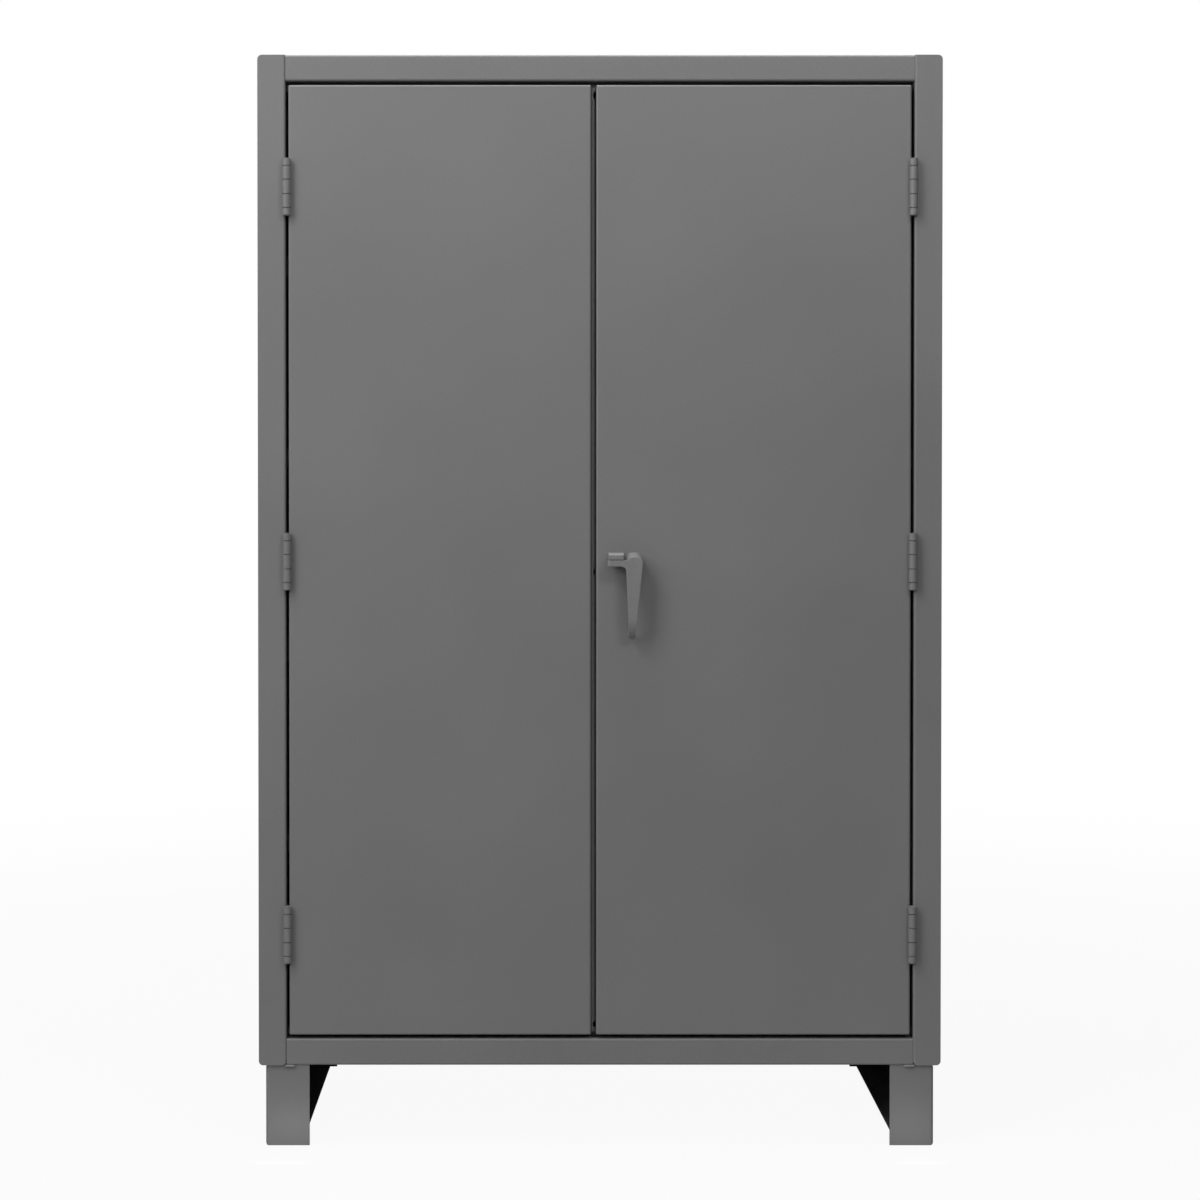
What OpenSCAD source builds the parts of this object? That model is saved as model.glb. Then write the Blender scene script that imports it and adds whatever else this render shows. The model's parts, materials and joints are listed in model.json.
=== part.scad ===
// Two-door steel tool cabinet on formed leg bases, with a padlockable turn
// handle that draws an upper and a lower lock rod inside the right-hand door.
// Millimetres. +Z is up, -Y is the front, and the origin is on the floor,
// under the middle of the body.

/* [Body] */
// Width over the side panels
body_w = 1230; // [1000:10:1500]
// Height of the body without its legs
body_h = 1819; // [1600:1:2000]
// Depth from the faces of the posts to the back
body_d = 610; // [480:10:760]
// Thickness of the body's sheet steel
body_sheet = 2.7; // [2:0.1:3.4]
// Outer radius of the bends between the sides and the top and bottom
body_bend_r = 8; // [5:0.5:12]

/* [Front frame] */
// Width of each front post
post_w = 50; // [40:1:70]
// Width of the lip at the back of each post
post_lip = 22; // [12:1:30]
// Rounding at the lower inner corner of each post
post_corner_r = 9; // [5:0.5:14]
// Height of the top rail
top_rail_h = 47; // [35:1:70]
// Height of the bottom rail
bottom_rail_h = 48; // [35:1:70]
// Distance of the rails behind the faces of the posts
rail_setback = 1.5; // [0:0.5:4]
// Outer radius of the bends in the posts and rails
frame_bend_r = 4; // [3.5:0.5:6]
// Overlap of the stop strips behind the doors' ends, with the gap counted in
stop_lip = 15; // [12:1:25]
// Overlap of the stop strips behind the rails
stop_lap = 18; // [8:1:25]
// Distance between a closed door and the stop strips
stop_gap = 3; // [2:0.5:5]

/* [Legs] */
// Height of the leg bases
leg_h = 146; // [100:1:220]
// Width of a leg's front face
leg_face_w = 79; // [60:1:110]
// Distance of the legs in from the sides of the body
leg_inset = 12; // [4:1:30]
// Distance of the legs behind the faces of the posts
leg_setback = 5; // [2:1:20]
// Thickness of the leg bases' steel
leg_sheet = 3.4; // [2.5:0.1:5]
// Outer radius of the leg bases' bends
leg_bend_r = 5.5; // [5:0.5:9]
// Width of the flange that stands on the floor
foot_flange_w = 65; // [50:1:75]
// Width of the flange under the body
leg_top_flange_w = 40; // [30:1:55]
// Diameter of the floor anchor holes
anchor_d = 14; // [8:0.5:18]
// Distance between the anchor holes from front to back
anchor_spacing_y = 500; // [350:10:560]
// Distance of the anchor holes in from the outer face of a leg
anchor_inset = 18; // [16:1:45]

/* [Doors] */
// Thickness of the doors' sheet steel
door_sheet = 2; // [1.2:0.1:2.5]
// Depth of the doors' edges
door_depth = 30; // [26:1:40]
// Outer radius of the bends around the doors
door_bend_r = 4; // [3:0.5:6]
// Rounding of the doors' four corners
door_corner_r = 4; // [2:0.5:5]
// Width of the lips behind the doors' upright edges
door_lip = 18; // [8:1:22]
// Gap between a post and the door that it carries
hinge_gap = 5.4; // [4:0.1:8]
// Gap above the doors
top_gap = 7; // [4:0.5:12]
// Gap below the doors
bottom_gap = 7; // [4:0.5:12]
// Gap between the two doors
centre_gap = 8.9; // [7:0.1:12]
// Distance of that gap from the middle of the cabinet, to the left
centre_shift = 11.3; // [0:0.1:30]
// Width of the doors' upright stiffeners
stiffener_w = 80; // [60:1:120]
// Depth of the stiffeners
stiffener_depth = 20; // [12:1:22]
// Thickness of the stiffeners' steel
stiffener_sheet = 1.9; // [1.2:0.1:2.5]
// Part of the gap between the doors that the strip on the left door closes
strip_cover = 6.9; // [3:0.1:7]
// Distance of the strip behind the faces of the doors
strip_setback = 14; // [4:0.5:16]
// Thickness of the strip
strip_sheet = 2; // [1:0.1:3]
// Width of the strip's leaf along the door's edge
strip_leaf = 14; // [8:1:16]
// Depth of the three notches in the strip's free edge
notch_depth = 3.4; // [2:0.1:3.6]
// Radius of the two end notches
end_notch_r = 8; // [5:0.5:12]
// Radius of the notch near the handle
middle_notch_r = 5.5; // [4.5:0.5:9]
// Distance of the upper notch below the top of the door
upper_notch_drop = 17.2; // [15:0.1:60]
// Distance of the lower notch above the bottom of the door
lower_notch_rise = 16.6; // [15:0.1:60]
// Distance of the middle notch below the handle's shaft
middle_notch_drop = 20.6; // [-60:0.1:60]

/* [Hinges] */
// Diameter of the hinge barrels
barrel_d = 15; // [12:0.5:20]
// Diameter of the hinge pins
pin_d = 8; // [5:0.5:9]
// Clearance around the pins in the doors' knuckles
pin_clearance = 0.05; // [0.02:0.01:0.1]
// Height of a hinge
hinge_h = 101.6; // [80:0.2:140]
// Height of the two end knuckles
end_knuckle_h = 13.2; // [10:0.2:18]
// Height of the middle knuckle
middle_knuckle_h = 26; // [16:0.5:30]
// Gap between two knuckles
knuckle_gap = 0.4; // [0.2:0.1:1]
// Gap between the two leaves of a hinge
leaf_gap = 0.8; // [0.4:0.1:1.6]
// Depth of the leaves behind the door's face
leaf_depth = 26; // [18:1:26]
// Distance between neighbouring hinges
hinge_spacing = 672; // [500:1:720]
// Height of a pin's head
pin_head_h = 0.7; // [0.4:0.1:2]

/* [Handle] */
// Distance of the handle's shaft from the edge of its door
handle_inset = 68; // [64:0.1:100]
// Distance of the shaft above the middle of the body
handle_rise = 1; // [-200:0.5:200]
// Diameter of the handle's hub
hub_d = 31; // [26:0.5:36]
// Angle by which the hub's upper side slopes down to the front
hub_slope = 13; // [4:1:15]
// Distance from the door's face to the front of the handle
handle_reach = 38; // [32:0.5:50]
// Thickness of the lever and the ear from front to back
lever_t = 12; // [8:0.5:16]
// Distance from the shaft to the tip of the lever
lever_length = 139; // [110:1:160]
// Width of the lever at its tip
lever_tip_w = 12; // [8:0.5:18]
// Distance of the tip to the left of the shaft
lever_lean = 4; // [0:0.5:6]
// Radius of the curve that brings the tip back to the door
tip_curve_r = 38; // [30:1:60]
// Angle of that curve
tip_curve_angle = 65; // [20:1:70]
// Diameter of the shaft that turns in the door
shaft_d = 16; // [10:0.5:18]
// Clearance around the shaft in its bushing
shaft_clearance = 0.05; // [0.02:0.01:0.1]
// Diameter of the bushing's flange
bushing_flange_d = 30; // [26:0.5:46]
// Thickness of that flange
bushing_flange_t = 3; // [2:0.5:5]
// Diameter of the bushing's barrel
bushing_d = 24; // [22:0.5:28]
// Thickness of the nut behind the door's skin
bushing_nut_t = 5; // [3:0.5:7]
// Width of that nut over its flats
bushing_nut_flats = 32; // [30:0.5:38]

/* [Padlock] */
// Distance from the shaft to the end of the ear
ear_reach = 48; // [44:0.5:60]
// Height of the ear
ear_h = 10.8; // [7:0.1:14]
// Depth of the ear from front to back
ear_depth = 26; // [18:1:28]
// Radius of the fillet between the ear and the lever
ear_fillet_r = 9; // [4:0.5:14]
// Height of the ear's top above the shaft
ear_rise = 2; // [0:0.5:4]
// Gap between the ear and the lug above it
lug_gap = 1.3; // [0.6:0.1:3]
// Height of the lug
lug_h = 11.6; // [10:0.2:20]
// Width of the lug
lug_w = 27.5; // [22:0.5:31]
// Distance of the lug's end from the end of the ear
lug_inset = 1.4; // [0:0.1:2]
// Distance from the door's face to the front of the lug
lug_reach = 36; // [30:0.5:44]
// Rounding of the lug's upper front edge
lug_round_r = 5; // [2:0.5:8]
// Rounding of the ear's corners at its free end
ear_corner_r = 4; // [2:0.5:6]
// Diameter of the padlock's hole in the lug and the ear
padlock_d = 9.5; // [7:0.5:11]
// Distance of that hole from the end of the ear
padlock_inset = 15; // [12:0.5:18]
// Distance of that hole from the door's face
padlock_reach = 24; // [20:0.5:28]

/* [Lock] */
// Thickness of the cam and the rods
rod_t = 4; // [3:0.5:5]
// Width of the rods
rod_w = 16; // [12:0.5:20]
// Distance of the cam's pins from the shaft
cam_r = 28; // [26:0.5:32]
// Diameter of the cam's pins
cam_pin_d = 7; // [5:0.5:8]
// Clearance of a cam pin in the rod's eye, above and below
eye_clearance = 1.2; // [1:0.1:2]
// Metal around the rod's eye
eye_wall = 4.4; // [3:0.1:4.6]
// Gap between the cam and the rods
rod_gap = 0.4; // [0.3:0.1:1]
// Distance between a rod's tip and the rail at rest
rod_stand_off = 2.5; // [1.5:0.5:4]
// Clearance of a rod in its guide
guide_clearance = 0.5; // [0.3:0.1:1]
// Clearance of a rod in the slots of the door and the rails
slot_clearance = 2; // [1:0.5:3]
// Wall of the rod guides
guide_wall = 3; // [2:0.5:4]
// Height of the rod guides
guide_h = 22; // [15:1:40]
// Distance of the rod guides from the ends of the door
guide_inset = 90; // [40:5:200]
// Thickness of the strike plates
strike_t = 3; // [2:0.5:5]
// Width of the strike plates
strike_w = 70; // [50:1:120]
// Diameter of the shaft's threaded end
shaft_end_d = 10; // [8:0.5:11]
// Width over flats of the nut that holds the cam
cam_nut_flats = 16; // [14:0.5:16]
// Thickness of that nut
cam_nut_t = 5; // [4:0.5:6]

/* [Shelves] */
// Height of a shelf's front and back edges
shelf_edge = 38; // [20:1:50]
// Width of the lip under those edges
shelf_lip = 14; // [8:1:25]
// Thickness of the shelves' sheet steel
shelf_sheet = 1.9; // [1.2:0.1:2.7]
// Outer radius of the shelves' bends
shelf_bend_r = 4; // [3:0.5:6]
// Distance of a shelf behind the front frame
shelf_front_gap = 12; // [5:1:40]
// Distance of a shelf from the back panel
shelf_back_gap = 12; // [5:1:40]
// Distance between a shelf's end and the uprights
shelf_end_gap = 4.5; // [3.5:0.5:10]
// Width of the shelf uprights
upright_w = 40; // [30:1:50]
// Depth of the shelf uprights
upright_depth = 15; // [10:1:25]
// Distance of the uprights' middles in from the front and back of the shelves
upright_inset = 60; // [30:5:120]
// Distance between the slots in the uprights
slot_pitch = 50; // [40:1:60]
// Height of a slot
slot_h = 16; // [12:0.5:20]
// Width of a slot
slot_w = 5; // [4:0.5:8]
// Clearance of a clip's hook in its slot
hook_clearance = 0.5; // [0.3:0.1:1]
// Width of a shelf clip
clip_w = 24; // [16:1:30]
// Thickness of a shelf clip
clip_t = 3; // [2:0.5:3]
// Height of a shelf clip
clip_h = 34; // [26:1:38]
// Length of a clip's arm under the shelf
clip_arm = 28; // [20:1:40]

/* [Hidden] */

$fn = 64;
// Flats that make up the curve of a bend
bend_steps = 6;
// Length by which a cut runs past the metal
past = 1;

// Shelves above the floor of the cabinet
shelf_count = 4;

half_w = body_w / 2;
inner_half_w = half_w - body_sheet;
open_half_w = half_w - post_w;
front_y = -body_d / 2;
back_y = body_d / 2;
body_z0 = leg_h;
body_z1 = leg_h + body_h;
rail_y = front_y + rail_setback;
// The side panels' flanges reach the returns of the posts
side_flange = post_w - body_sheet;

door_back_y = front_y + door_depth;
stop_y = door_back_y + stop_gap;
frame_back_y = stop_y + body_sheet;
opening_z0 = body_z0 + bottom_rail_h;
opening_z1 = body_z1 - top_rail_h;
door_z0 = opening_z0 + bottom_gap;
door_z1 = opening_z1 - top_gap;
left_door_x0 = -open_half_w + hinge_gap;
left_door_x1 = -centre_shift - centre_gap / 2;
right_door_x0 = -centre_shift + centre_gap / 2;
right_door_x1 = open_half_w - hinge_gap;
skin_back_y = front_y + door_sheet;

hinge_x = open_half_w - hinge_gap / 2;
barrel_r = barrel_d / 2;
hinge_y = front_y - barrel_r;
hinge_z = body_z0 + body_h / 2;
// Room between a knuckle and the leaf that it turns past
knuckle_room = 0.5;
// Step from the barrel in to a pin's head
pin_head_step = 1;
side_knuckle_h = (hinge_h - 2 * end_knuckle_h - middle_knuckle_h) / 2;
// Heights of the joints between the five knuckles, from the bottom
knuckle_joints = [
  -hinge_h / 2,
  -hinge_h / 2 + end_knuckle_h,
  -middle_knuckle_h / 2,
  middle_knuckle_h / 2,
  hinge_h / 2 - end_knuckle_h,
  hinge_h / 2
];

hub_x = right_door_x0 + handle_inset;
hub_z = body_z0 + body_h / 2 + handle_rise;
hub_r = hub_d / 2;
shaft_r = shaft_d / 2;
// Gap between the turning handle and its bushing
hub_gap = 0.3;
hub_back_y = front_y - bushing_flange_t - hub_gap;
handle_front_y = front_y - handle_reach;
hub_h = hub_back_y - handle_front_y;
// Radius by which the sloping cut over the hub is larger than the hub
slope_spare = 0.5;
slope_r = hub_r + slope_spare;
// Height of the handle's flat front above the shaft
crown = slope_r / cos(hub_slope) - hub_h * tan(hub_slope);
crown_r = (pow(hub_r, 2) + pow(crown, 2)) / (2 * crown);
padlock_x = hub_x - ear_reach + padlock_inset;
padlock_y = front_y - padlock_reach;
ear_top_z = hub_z + ear_rise;
lug_z0 = ear_top_z + lug_gap;

// Length of the bushing behind its nut
bushing_end = 3;
// Gap between the bushing and the cam
cam_gap = 0.5;
bushing_back_y = skin_back_y + bushing_nut_t + bushing_end;
cam_y = bushing_back_y + cam_gap;
rod_y = cam_y + rod_t + rod_gap;
rod_mid_y = rod_y + rod_t / 2;
// A cam pin starts and ends a quarter turn at 45 degrees from the level
pin_side_near = cam_r * cos(45);
rod_offset = (cam_r + pin_side_near) / 2;
eye_half_w = (cam_r - pin_side_near) / 2 + cam_pin_d / 2 + eye_clearance / 2;
eye_half_h = cam_pin_d / 2 + eye_clearance;
upper_rod_x = hub_x - rod_offset;
lower_rod_x = hub_x + rod_offset;
pin_rise = cam_r * sin(45);

// Room above the uprights
upright_room = 10;
upright_top_z = opening_z1 - upright_room;
upright_face_x = inner_half_w - upright_depth;
slot_count = floor((upright_top_z - opening_z0 - slot_pitch) / slot_pitch);
shelf_half_w = upright_face_x - shelf_end_gap;
shelf_y0 = frame_back_y + shelf_front_gap;
shelf_y1 = back_y - body_sheet - shelf_back_gap;
front_upright_y = shelf_y0 + upright_inset;
rear_upright_y = shelf_y1 - upright_inset;
slots_per_shelf = round((slot_count + 1) / (shelf_count + 1));

steel = [0.44, 0.44, 0.44];
zinc = [0.62, 0.62, 0.6];
black_steel = [0.05, 0.05, 0.05];

function unit(v) = v / norm(v);
function left_of(d) = [-d[1], d[0]];
function turned(v, a) = [v[0] * cos(a) - v[1] * sin(a), v[0] * sin(a) + v[1] * cos(a)];
function reversed(list) = [for (i = [len(list) - 1:-1:0]) list[i]];
function slot_z(i) = opening_z0 + slot_pitch * i;
function shelf_z(i) = slot_z(i * slots_per_shelf);

// Angle by which a path a, b, c turns at b, positive to the left
function bend_angle(a, b, c) =
  let (d1 = unit(b - a), d2 = unit(c - b))
  atan2(d1[0] * d2[1] - d1[1] * d2[0], d1 * d2);

// Arc at the corner b of one face of a folded sheet
function bend_arc(a, b, c, side, r, t, far) =
  let (
    angle = bend_angle(a, b, c),
    turn = sign(angle),
    d = unit(b - a),
    near_r = turn == side ? r : r - t,
    far_r = turn == side ? r - t : r,
    centre = b - d * near_r * tan(abs(angle) / 2) + left_of(d) * turn * near_r,
    spoke = left_of(d) * turn * (far ? far_r : near_r)
  )
  [for (k = [0:bend_steps]) centre - turned(spoke, angle * k / bend_steps)];

function sheet_face(path, side, r, t, far) =
  let (last = len(path) - 1, shift = far ? side * t : 0)
  [
    path[0] + left_of(unit(path[1] - path[0])) * shift,
    for (i = [1:last - 1])
      for (p = bend_arc(path[i - 1], path[i], path[i + 1], side, r, t, far)) p,
    path[last] + left_of(unit(path[last] - path[last - 1])) * shift
  ];

// Outline of a sheet folded along a path: the sheet lies to the left of the
// path where side is 1 and to the right where it is -1
module folded(path, side, r, t) {
  polygon(concat(sheet_face(path, side, r, t, false), reversed(sheet_face(path, side, r, t, true))));
}

// What a rounded corner at the origin takes off a shape in the +X +Y quarter
module corner_cut(r) {
  difference() {
    translate([-past, -past])
      square(r + past);
    translate([r, r])
      circle(r);
  }
}

// Outline in X and Y carried up from z0 to z1
module along_z(z0, z1) {
  translate([0, 0, z0])
    linear_extrude(z1 - z0)
      children();
}

// Outline in Y and Z carried across from x0 to x1
module along_x(x0, x1) {
  translate([x0, 0, 0])
    rotate([90, 0, 90])
      linear_extrude(x1 - x0)
        children();
}

// Outline in X and Z carried back from y0 to y1
module along_y(y0, y1) {
  translate([0, y1, 0])
    rotate([90, 0, 0])
      linear_extrude(y1 - y0)
        children();
}

module block(low, high) {
  translate(low)
    cube(high - low);
}

module bar_y(x, z, d, y0, y1) {
  along_y(y0, y1)
    translate([x, z])
      circle(d = d);
}

module hex_y(x, z, flats, y0, y1) {
  along_y(y0, y1)
    translate([x, z])
      circle(d = flats / cos(30), $fn = 6);
}

module on_right() {
  mirror([1, 0, 0])
    children();
}

// ---- body ----

module side_panel() {
  color(steel)
    along_y(front_y + body_sheet, back_y)
      folded(
        [
          [-half_w + side_flange, body_z0], [-half_w, body_z0],
          [-half_w, body_z1], [-half_w + side_flange, body_z1]
        ],
        -1, body_bend_r, body_sheet
      );
}

module left_side_panel() {
  side_panel();
}

module right_side_panel() {
  on_right()
    side_panel();
}

module back_panel() {
  inner_r = body_bend_r - body_sheet;
  z0 = body_z0 + body_sheet;
  z1 = body_z1 - body_sheet;
  color(steel)
    along_y(back_y - body_sheet, back_y)
      difference() {
        translate([-inner_half_w, z0])
          square([2 * inner_half_w, z1 - z0]);
        for (sx = [-1, 1]) {
          translate([sx * inner_half_w, z0])
            scale([-sx, 1])
              corner_cut(inner_r);
          translate([sx * inner_half_w, z1])
            scale([-sx, -1])
              corner_cut(inner_r);
        }
      }
}

module top_panel() {
  x = half_w - side_flange;
  color(steel)
    block([-x, frame_back_y, body_z1 - body_sheet], [x, back_y, body_z1]);
}

module floor_panel() {
  flange_z = body_z0 + body_bend_r;
  color(steel)
    along_y(frame_back_y, back_y - body_sheet)
      folded(
        [
          [-inner_half_w, flange_z], [-inner_half_w, opening_z0],
          [inner_half_w, opening_z0], [inner_half_w, flange_z]
        ],
        -1, frame_bend_r, body_sheet
      );
}

// A channel beside the doors: face, return and a lip turned to the side panel
module front_post() {
  flange_x = -open_half_w - body_sheet;
  color(steel)
    difference() {
      along_z(body_z0, body_z1)
        folded(
          [
            [-half_w, front_y], [-open_half_w, front_y],
            [-open_half_w, frame_back_y], [-open_half_w - post_lip, frame_back_y]
          ],
          1, frame_bend_r, body_sheet
        );
      // The lip stands between the flanges of the side panel
      for (z = [body_z0 - past, body_z1 - body_sheet])
        block(
          [-half_w - past, front_y + body_sheet, z],
          [flange_x, frame_back_y + past, z + body_sheet + past]
        );
      along_y(front_y - past, frame_back_y + past) {
        translate([-half_w, body_z0])
          corner_cut(body_bend_r);
        translate([-half_w, body_z1])
          mirror([0, 1])
            corner_cut(body_bend_r);
        translate([-open_half_w, body_z0])
          mirror([1, 0])
            corner_cut(post_corner_r);
      }
    }
}

module left_front_post() {
  front_post();
}

module right_front_post() {
  on_right()
    front_post();
}

// Slot for a lock rod at x, with its own clearance, through a flange at z
module rod_slot(x, z0, z1) {
  half_x = rod_w / 2 + slot_clearance;
  half_y = rod_t / 2 + slot_clearance;
  block([x - half_x, rod_mid_y - half_y, z0], [x + half_x, rod_mid_y + half_y, z1]);
}

module top_front_rail() {
  color(steel)
    difference() {
      along_x(-open_half_w, open_half_w)
        folded(
          [
            [frame_back_y, body_z1], [rail_y, body_z1],
            [rail_y, opening_z1], [stop_y, opening_z1]
          ],
          1, frame_bend_r, body_sheet
        );
      rod_slot(upper_rod_x, opening_z1 - past, opening_z1 + body_sheet + past);
    }
}

module bottom_front_rail() {
  color(steel)
    difference() {
      along_x(-open_half_w, open_half_w)
        folded(
          [
            [frame_back_y, body_z0], [rail_y, body_z0],
            [rail_y, opening_z0], [stop_y, opening_z0]
          ],
          -1, frame_bend_r, body_sheet
        );
      rod_slot(lower_rod_x, opening_z0 - body_sheet - past, opening_z0 + past);
    }
}

// Bar welded along the back of a rail, which the doors close against
module stop_strip(z0, z1) {
  color(steel)
    block([-open_half_w, stop_y, z0], [open_half_w, frame_back_y, z1]);
}

module top_stop_strip() {
  stop_strip(opening_z1 - stop_lip, opening_z1 + stop_lap);
}

module bottom_stop_strip() {
  stop_strip(opening_z0 - stop_lap, opening_z0 + stop_lip);
}

// Plate behind a rail's flange that a lock rod enters
module strike(x, z0) {
  // Metal in front of and behind the slot
  rim = 4;
  half_y = rod_t / 2 + slot_clearance + rim;
  color(zinc)
    difference() {
      block(
        [x - strike_w / 2, rod_mid_y - half_y, z0],
        [x + strike_w / 2, rod_mid_y + half_y, z0 + strike_t]
      );
      rod_slot(x, z0 - past, z0 + strike_t + past);
    }
}

module top_strike() {
  strike(upper_rod_x, opening_z1 + body_sheet);
}

module bottom_strike() {
  strike(lower_rod_x, opening_z0 - body_sheet - strike_t);
}

// Block with its edges rounded on the side at x0
module round_side(x0, x1, y0, y1, z0, z1, r) {
  intersection() {
    along_y(y0, y1)
      difference() {
        translate([x0, z0])
          square([x1 - x0, z1 - z0]);
        translate([x0, z0])
          corner_cut(r);
        translate([x0, z1])
          mirror([0, 1])
            corner_cut(r);
      }
    along_z(z0, z1)
      difference() {
        translate([x0, y0])
          square([x1 - x0, y1 - y0]);
        translate([x0, y0])
          corner_cut(r);
        translate([x0, y1])
          mirror([0, 1])
            corner_cut(r);
      }
  }
}

// One folded leg base carries a whole side of the cabinet from front to back
module leg_base() {
  t = leg_sheet;
  out_x = -half_w + leg_inset;
  in_x = out_x + leg_face_w;
  y0 = front_y + leg_setback;
  y1 = back_y - leg_setback;
  color(steel)
    difference() {
      round_side(out_x, in_x, y0, y1, 0, leg_h, leg_bend_r);
      round_side(out_x + t, in_x + past, y0 + t, y1 - t, t, leg_h - t, leg_bend_r - t);
      block([out_x + foot_flange_w, y0 + t, -past], [in_x + past, y1 - t, t + past]);
      block(
        [out_x + leg_top_flange_w, y0 + t, leg_h - t - past],
        [in_x + past, y1 - t, leg_h + past]
      );
      for (sy = [-1, 1])
        translate([out_x + anchor_inset, sy * anchor_spacing_y / 2, -past])
          cylinder(d = anchor_d, h = t + 2 * past);
    }
}

module left_leg_base() {
  leg_base();
}

module right_leg_base() {
  on_right()
    leg_base();
}

// ---- shelves ----

// Slotted channel on the left side panel, centred on y
module upright(y) {
  face_x = -upright_face_x;
  color(steel)
    difference() {
      along_z(opening_z0, upright_top_z)
        folded(
          [
            [-inner_half_w, y - upright_w / 2], [face_x, y - upright_w / 2],
            [face_x, y + upright_w / 2], [-inner_half_w, y + upright_w / 2]
          ],
          1, shelf_bend_r, shelf_sheet
        );
      for (i = [1:slot_count])
        block(
          [face_x - shelf_sheet - past, y - slot_w / 2, slot_z(i)],
          [face_x + past, y + slot_w / 2, slot_z(i) + slot_h]
        );
    }
}

module left_front_upright() {
  upright(front_upright_y);
}

module left_rear_upright() {
  upright(rear_upright_y);
}

module right_front_upright() {
  on_right()
    upright(front_upright_y);
}

module right_rear_upright() {
  on_right()
    upright(rear_upright_y);
}

// Top face of a shelf, which stands on clips hooked into slot row i
module shelf(i) {
  z = shelf_z(i) + slot_h;
  color(steel)
    along_x(-shelf_half_w, shelf_half_w)
      folded(
        [
          [shelf_y0 + shelf_lip, z - shelf_edge], [shelf_y0, z - shelf_edge],
          [shelf_y0, z], [shelf_y1, z],
          [shelf_y1, z - shelf_edge], [shelf_y1 - shelf_lip, z - shelf_edge]
        ],
        -1, shelf_bend_r, shelf_sheet
      );
}

module shelf_1() {
  shelf(1);
}

module shelf_2() {
  shelf(2);
}

module shelf_3() {
  shelf(3);
}

module shelf_4() {
  shelf(4);
}

// Clip on the left upright at y, with its arm under the shelf in row i
module shelf_clip(y, i) {
  arm_z = shelf_z(i) + slot_h - shelf_sheet;
  face_x = -upright_face_x;
  hook_w = slot_w - 2 * hook_clearance;
  block(
    [face_x, y - clip_w / 2, arm_z - clip_h],
    [face_x + clip_t, y + clip_w / 2, arm_z]
  );
  block(
    [face_x, y - clip_w / 2, arm_z - clip_t],
    [face_x + clip_arm, y + clip_w / 2, arm_z]
  );
  block(
    [face_x - shelf_sheet - clip_t, y - hook_w / 2, shelf_z(i) + hook_clearance],
    [face_x, y + hook_w / 2, arm_z - hook_clearance]
  );
}

module shelf_clips() {
  color(zinc)
    for (i = [1:shelf_count])
      for (y = [front_upright_y, rear_upright_y]) {
        shelf_clip(y, i);
        on_right()
          shelf_clip(y, i);
      }
}

// ---- hinges ----

// One leaf of a left-hand hinge around its own axis: dir is -1 on the post
// and 1 on the door, and kept lists the knuckles that belong to the leaf
module hinge_leaf(dir, kept, bore_r) {
  near_x = leaf_gap / 2;
  far_x = hinge_gap / 2;
  color(steel)
    difference() {
      union() {
        along_z(-hinge_h / 2, hinge_h / 2)
          scale([dir, 1])
            translate([near_x, barrel_r + knuckle_room])
              square([far_x - near_x, leaf_depth - knuckle_room]);
        for (k = kept) {
          // Half of the gap comes off each knuckle, but not off the outer ends
          z0 = knuckle_joints[k] + (k == 0 ? 0 : knuckle_gap / 2);
          z1 = knuckle_joints[k + 1] - (k == 4 ? 0 : knuckle_gap / 2);
          along_z(z0, z1) {
            circle(barrel_r);
            scale([dir, 1])
              translate([near_x, 0])
                square([far_x - near_x, barrel_r + knuckle_room]);
          }
        }
      }
      translate([0, 0, -hinge_h / 2 - past])
        cylinder(r = bore_r, h = hinge_h + 2 * past);
    }
}

// Places a left-hand hinge part at row -1, 0 or 1
module at_hinge(row) {
  translate([-hinge_x, hinge_y, hinge_z + row * hinge_spacing])
    children();
}

module frame_leaf(row) {
  at_hinge(row)
    hinge_leaf(-1, [0, 2, 4], pin_d / 2);
}

module door_leaf(row) {
  at_hinge(row)
    hinge_leaf(1, [1, 3], pin_d / 2 + pin_clearance);
}

module hinge_pins() {
  color(steel)
    for (row = [-1:1])
      at_hinge(row) {
        translate([0, 0, -hinge_h / 2])
          cylinder(d = pin_d, h = hinge_h);
        for (z = [-hinge_h / 2 - pin_head_h, hinge_h / 2])
          translate([0, 0, z])
            cylinder(r = barrel_r - pin_head_step, h = pin_head_h);
      }
}

module left_upper_frame_leaf() {
  frame_leaf(1);
}

module left_middle_frame_leaf() {
  frame_leaf(0);
}

module left_lower_frame_leaf() {
  frame_leaf(-1);
}

module right_upper_frame_leaf() {
  on_right()
    frame_leaf(1);
}

module right_middle_frame_leaf() {
  on_right()
    frame_leaf(0);
}

module right_lower_frame_leaf() {
  on_right()
    frame_leaf(-1);
}

module left_hinge_pins() {
  hinge_pins();
}

module right_hinge_pins() {
  on_right()
    hinge_pins();
}

module left_upper_door_leaf() {
  door_leaf(1);
}

module left_middle_door_leaf() {
  door_leaf(0);
}

module left_lower_door_leaf() {
  door_leaf(-1);
}

module right_upper_door_leaf() {
  on_right()
    door_leaf(1);
}

module right_middle_door_leaf() {
  on_right()
    door_leaf(0);
}

module right_lower_door_leaf() {
  on_right()
    door_leaf(-1);
}

// ---- doors ----

// Block with its front edges rounded on all four sides
module round_front(x0, x1, z0, z1, y0, y1, r) {
  intersection() {
    along_z(z0, z1)
      difference() {
        translate([x0, y0])
          square([x1 - x0, y1 - y0]);
        translate([x0, y0])
          corner_cut(r);
        translate([x1, y0])
          mirror([1, 0])
            corner_cut(r);
      }
    along_x(x0, x1)
      difference() {
        translate([y0, z0])
          square([y1 - y0, z1 - z0]);
        translate([y0, z0])
          corner_cut(r);
        translate([y0, z1])
          mirror([0, 1])
            corner_cut(r);
      }
  }
}

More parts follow.
